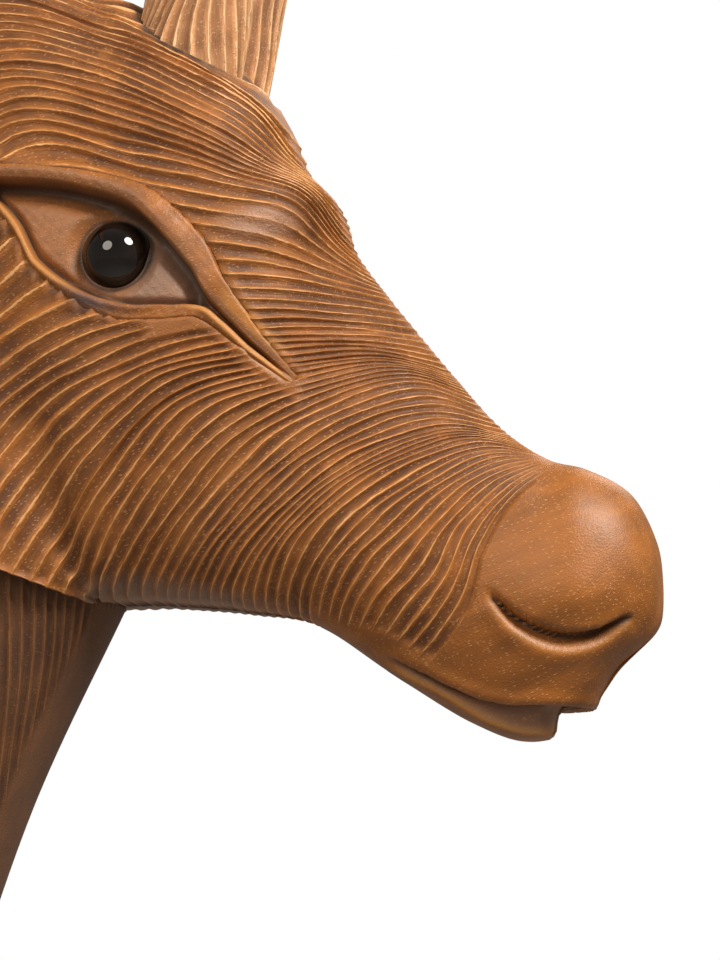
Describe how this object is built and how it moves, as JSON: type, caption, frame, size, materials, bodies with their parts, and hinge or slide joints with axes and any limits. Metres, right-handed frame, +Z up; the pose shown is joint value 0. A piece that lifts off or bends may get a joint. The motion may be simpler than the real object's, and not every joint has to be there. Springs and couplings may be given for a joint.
{
  "type": "carved wooden giraffe statue",
  "caption": "Tall standing giraffe carved in brown wood with grooved coat lines, inset dark glass eyes and set-in horns, ears, legs and tail; stands on its hooves.",
  "frame": {"origin": "centre of the whole statue's footprint box, on the floor the hooves stand on", "axes": "+X the way the giraffe faces, +Y towards its left side, +Z up from the floor"},
  "size_m": [1.0558, 0.305, 2.0462],
  "materials": {
    "face_wood": "hand carved with fine grooves, oiled to a low sheen",
    "body_wood": "hand carved with fine grooves, oiled to a low sheen",
    "amber_wood": "carved with wavy grooves and varnished, glossier than the head",
    "eye_glass": "polished, nearly black",
    "peg_wood": "plain turned, unfinished"
  },
  "bodies": {
    "root": {"head": "face_wood", "eye_left": "eye_glass", "eye_right": "eye_glass", "horn_left": "amber_wood", "horn_right": "amber_wood", "ear_left": "face_wood", "ear_right": "face_wood", "neck": "body_wood", "torso": "body_wood", "leg_front_left": "body_wood", "leg_front_right": "body_wood", "leg_back_left": "body_wood", "leg_back_right": "body_wood", "tail": "body_wood", "dowel_head": "peg_wood", "dowel_neck": "peg_wood", "dowel_front_left": "peg_wood", "dowel_front_right": "peg_wood", "dowel_back_left": "peg_wood", "dowel_back_right": "peg_wood"}
  },
  "joints": []
}
